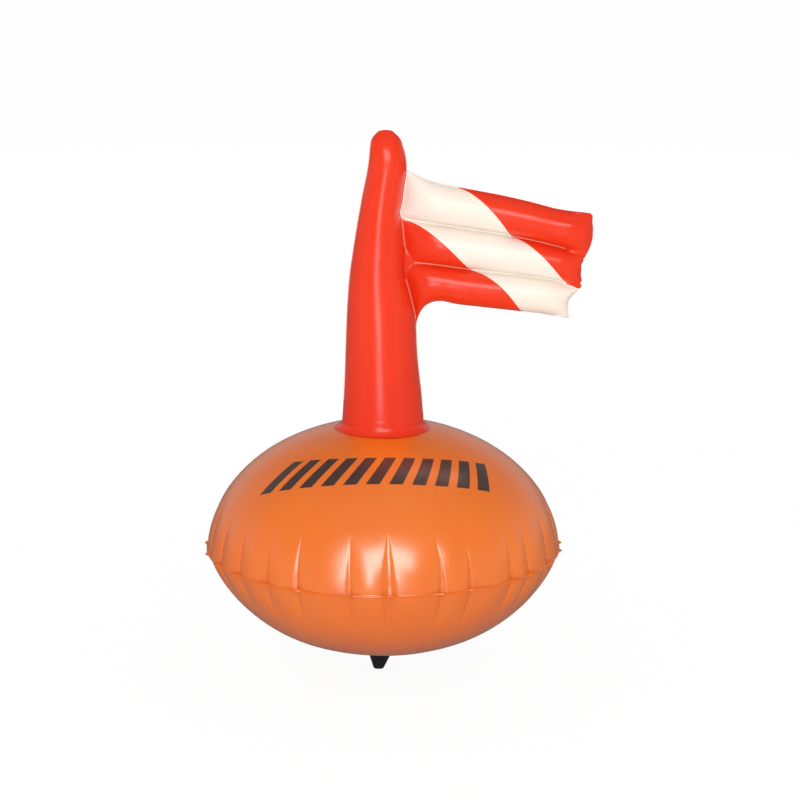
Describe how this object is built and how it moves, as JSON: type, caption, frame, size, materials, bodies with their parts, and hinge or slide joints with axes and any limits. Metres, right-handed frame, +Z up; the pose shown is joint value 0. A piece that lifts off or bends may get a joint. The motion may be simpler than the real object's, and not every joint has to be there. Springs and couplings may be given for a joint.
{
  "type": "dive flag float",
  "caption": "Inflatable surface marker: a flattened round hull with a welded mast, an air-filled flag with a diagonal band, a push-in valve and a tether lug.",
  "frame": {"origin": "centre of the hull's rim seam, which lies level with the water", "axes": "+Z up along the mast, +X towards the flag's fly, -Y out of the flag's front"},
  "size_m": [0.3819, 0.3533, 0.5455],
  "materials": {
    "hull_film": "satin orange PVC film",
    "mast_film": "satin red PVC film",
    "band_film": "satin white PVC film",
    "moulded_lug": "black moulded soft PVC, slightly glossy",
    "moulded_valve": "black moulded soft PVC"
  },
  "bodies": {
    "float": {"hull_upper_panel": "hull_film", "hull_lower_panel": "hull_film", "mast_collar": "mast_film", "mast_front_panel": "mast_film", "mast_rear_panel": "mast_film", "flag_front_hoist_panel": "mast_film", "flag_front_stripe": "band_film", "flag_front_fly_panel": "mast_film", "flag_rear_hoist_panel": "mast_film", "flag_rear_stripe": "band_film", "flag_rear_fly_panel": "mast_film", "tether_patch": "hull_film", "tether_lug": "moulded_lug", "valve_flange": "moulded_valve", "valve_boot": "moulded_valve"},
    "valve": {"valve_stem": "moulded_valve", "valve_strap": "moulded_valve"},
    "flap": {"valve_flap": "moulded_valve"},
    "plug": {"valve_plug": "moulded_valve"}
  },
  "joints": [
    {"name": "valve_pull", "type": "slide", "parent": "float", "child": "valve", "axis": [0, 0.4334, 0.9012], "range_m": [0, 0.014], "deforming": ["valve_boot"]},
    {"name": "plug_pull", "type": "slide", "parent": "valve", "child": "plug", "axis": [0, 0.4334, 0.9012], "range_m": [0, 0.008], "deforming": ["valve_strap"]},
    {"name": "flap_hinge", "type": "hinge", "parent": "valve", "child": "flap", "pos_m": [0, 0.08539, 0.09642], "axis": [-1, 0, 0], "range_deg": [0, 70], "stiffness_Nm_per_rad": 0.0003}
  ]
}
